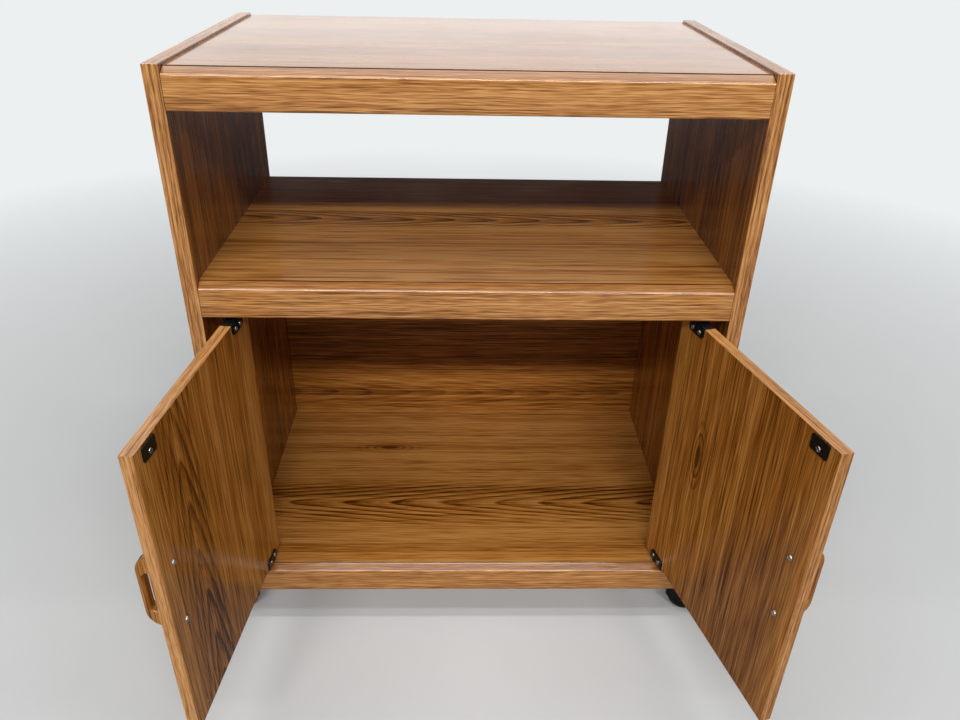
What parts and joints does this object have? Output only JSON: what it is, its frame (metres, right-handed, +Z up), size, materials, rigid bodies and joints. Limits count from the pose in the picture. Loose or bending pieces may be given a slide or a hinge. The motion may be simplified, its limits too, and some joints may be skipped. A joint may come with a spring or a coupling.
{
  "type": "audio-visual cart",
  "caption": "Rolling wood-grain equipment cart with an open upper bay and a cupboard below, closed by pivot-hung doors with D pulls, on swivelling ball casters.",
  "frame": {"origin": "on the floor, under the middle of the carcass", "axes": "+X to the right seen from the front, +Y from front to back, +Z up"},
  "size_m": [0.6877, 0.6206, 0.729],
  "materials": {
    "oak_laminate": "semi-gloss medium oak laminate on board",
    "oak_nosing": "satin wood-grain moulding",
    "oak_back": "printed wood-grain hardboard",
    "oak_pull": "satin varnished wood",
    "beech": "raw",
    "bright_steel": "zinc plated",
    "black_steel": "satin black, worn bright on the edges",
    "magnet_steel": "dark grey ferrite and plain steel",
    "brown_plastic": "moulded brown",
    "black_plastic": "moulded black, scuffed"
  },
  "bodies": {
    "cabinet": {"side_left": "oak_laminate", "side_right": "oak_laminate", "top_panel": "oak_laminate", "top_nosing": "oak_nosing", "middle_shelf": "oak_laminate", "middle_nosing": "oak_nosing", "header_rail": "oak_nosing", "bottom_shelf": "oak_laminate", "bottom_nosing": "oak_nosing", "back_panel": "oak_back", "back_nails": "bright_steel", "shelf_dowels": "beech", "nosing_dowels": "beech", "cam_bolts": "bright_steel", "cam_locks": "bright_steel", "cabinet_leaf_upper_left": "black_steel", "cabinet_leaf_upper_right": "black_steel", "cabinet_leaf_lower_left": "black_steel", "cabinet_leaf_lower_right": "black_steel", "hinge_pins": "bright_steel", "hinge_washers": "black_plastic", "cabinet_leaf_screws": "black_steel", "catch_case_left": "brown_plastic", "catch_case_right": "brown_plastic", "catch_magnet_left": "magnet_steel", "catch_magnet_right": "magnet_steel", "catch_screws": "bright_steel", "caster_sockets": "bright_steel"},
    "door_left": {"door_panel_left": "oak_laminate", "door_leaf_upper_left": "black_steel", "door_leaf_lower_left": "black_steel", "door_pull_left": "oak_pull", "strike_plate_left": "black_steel", "hinge_screws_left": "black_steel", "strike_screw_left": "black_steel", "pull_screws_left": "bright_steel"},
    "door_right": {"door_panel_right": "oak_laminate", "door_leaf_upper_right": "black_steel", "door_leaf_lower_right": "black_steel", "door_pull_right": "oak_pull", "strike_plate_right": "black_steel", "hinge_screws_right": "black_steel", "strike_screw_right": "black_steel", "pull_screws_right": "bright_steel"},
    "caster_front_left": {"caster_hood_front_left": "black_plastic", "caster_stem_front_left": "bright_steel", "caster_axle_front_left": "black_steel"},
    "wheels_front_left": {"caster_wheels_front_left": "black_plastic"},
    "caster_front_right": {"caster_hood_front_right": "black_plastic", "caster_stem_front_right": "bright_steel", "caster_axle_front_right": "black_steel"},
    "wheels_front_right": {"caster_wheels_front_right": "black_plastic"},
    "caster_rear_left": {"caster_hood_rear_left": "black_plastic", "caster_stem_rear_left": "bright_steel", "caster_axle_rear_left": "black_steel"},
    "wheels_rear_left": {"caster_wheels_rear_left": "black_plastic"},
    "caster_rear_right": {"caster_hood_rear_right": "black_plastic", "caster_stem_rear_right": "bright_steel", "caster_axle_rear_right": "black_steel"},
    "wheels_rear_right": {"caster_wheels_rear_right": "black_plastic"}
  },
  "joints": [
    {"name": "door_left_swing", "type": "hinge", "parent": "cabinet", "child": "door_left", "pos_m": [-0.2606, -0.17265, 0.281], "axis": [0, 0, 1], "range_deg": [-34.2, 95.8]},
    {"name": "door_right_swing", "type": "hinge", "parent": "cabinet", "child": "door_right", "pos_m": [0.2606, -0.17265, 0.281], "axis": [0, 0, 1], "range_deg": [-104.4, 25.6]},
    {"name": "caster_front_left_swivel", "type": "hinge", "parent": "cabinet", "child": "caster_front_left", "pos_m": [-0.297, -0.15, 0.055], "axis": [0, 0, 1], "continuous": true},
    {"name": "wheels_front_left_roll", "type": "hinge", "parent": "caster_front_left", "child": "wheels_front_left", "pos_m": [-0.3115, -0.15676, 0.02], "axis": [0.4226, -0.9063, 0], "continuous": true},
    {"name": "caster_front_right_swivel", "type": "hinge", "parent": "cabinet", "child": "caster_front_right", "pos_m": [0.297, -0.15, 0.055], "axis": [0, 0, 1], "continuous": true},
    {"name": "wheels_front_right_roll", "type": "hinge", "parent": "caster_front_right", "child": "wheels_front_right", "pos_m": [0.3115, -0.15676, 0.02], "axis": [0.4226, 0.9063, 0], "continuous": true},
    {"name": "caster_rear_left_swivel", "type": "hinge", "parent": "cabinet", "child": "caster_rear_left", "pos_m": [-0.297, 0.15, 0.055], "axis": [0, 0, 1], "continuous": true},
    {"name": "wheels_rear_left_roll", "type": "hinge", "parent": "caster_rear_left", "child": "wheels_rear_left", "pos_m": [-0.30451, 0.16413, 0.02], "axis": [-0.8829, -0.4695, 0], "continuous": true},
    {"name": "caster_rear_right_swivel", "type": "hinge", "parent": "cabinet", "child": "caster_rear_right", "pos_m": [0.297, 0.15, 0.055], "axis": [0, 0, 1], "continuous": true},
    {"name": "wheels_rear_right_roll", "type": "hinge", "parent": "caster_rear_right", "child": "wheels_rear_right", "pos_m": [0.30247, 0.16503, 0.02], "axis": [-0.9397, 0.342, 0], "continuous": true}
  ]
}
